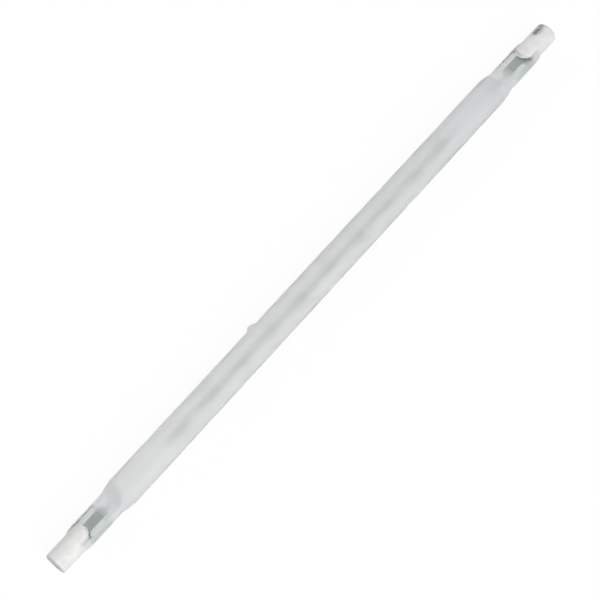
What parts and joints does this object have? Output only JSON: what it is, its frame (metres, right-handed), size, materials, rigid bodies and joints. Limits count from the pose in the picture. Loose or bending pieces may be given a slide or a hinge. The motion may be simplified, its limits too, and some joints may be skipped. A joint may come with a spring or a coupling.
{
  "type": "linear halogen bulb",
  "caption": "Double-ended linear halogen bulb: satin quartz tube with flat pinched ends, a long supported filament and ceramic bases with recessed contacts.",
  "frame": {"origin": "middle of the lamp, on the axis of the tube", "axes": "+X along the tube, +Z square to the flat pinches, +Y towards the exhaust tip"},
  "size_m": [0.254, 0.013, 0.011],
  "materials": {
    "quartz": "satin frosted quartz glass",
    "steatite": "unglazed white ceramic",
    "cement": "matt basing cement",
    "nickel": "nickel plated",
    "molybdenum": "bright molybdenum",
    "tungsten": "drawn tungsten wire"
  },
  "bodies": {
    "root": {"cement_left": "cement", "cement_right": "cement", "ceramic_base_left": "steatite", "ceramic_base_right": "steatite", "contact_left": "nickel", "contact_right": "nickel", "filament": "tungsten", "foil_left": "molybdenum", "foil_right": "molybdenum", "inner_lead_left": "molybdenum", "inner_lead_right": "molybdenum", "outer_lead_left": "molybdenum", "outer_lead_right": "molybdenum", "quartz_envelope": "quartz", "support_1": "tungsten", "support_10": "tungsten", "support_2": "tungsten", "support_3": "tungsten", "support_4": "tungsten", "support_5": "tungsten", "support_6": "tungsten", "support_7": "tungsten", "support_8": "tungsten", "support_9": "tungsten"}
  },
  "joints": []
}
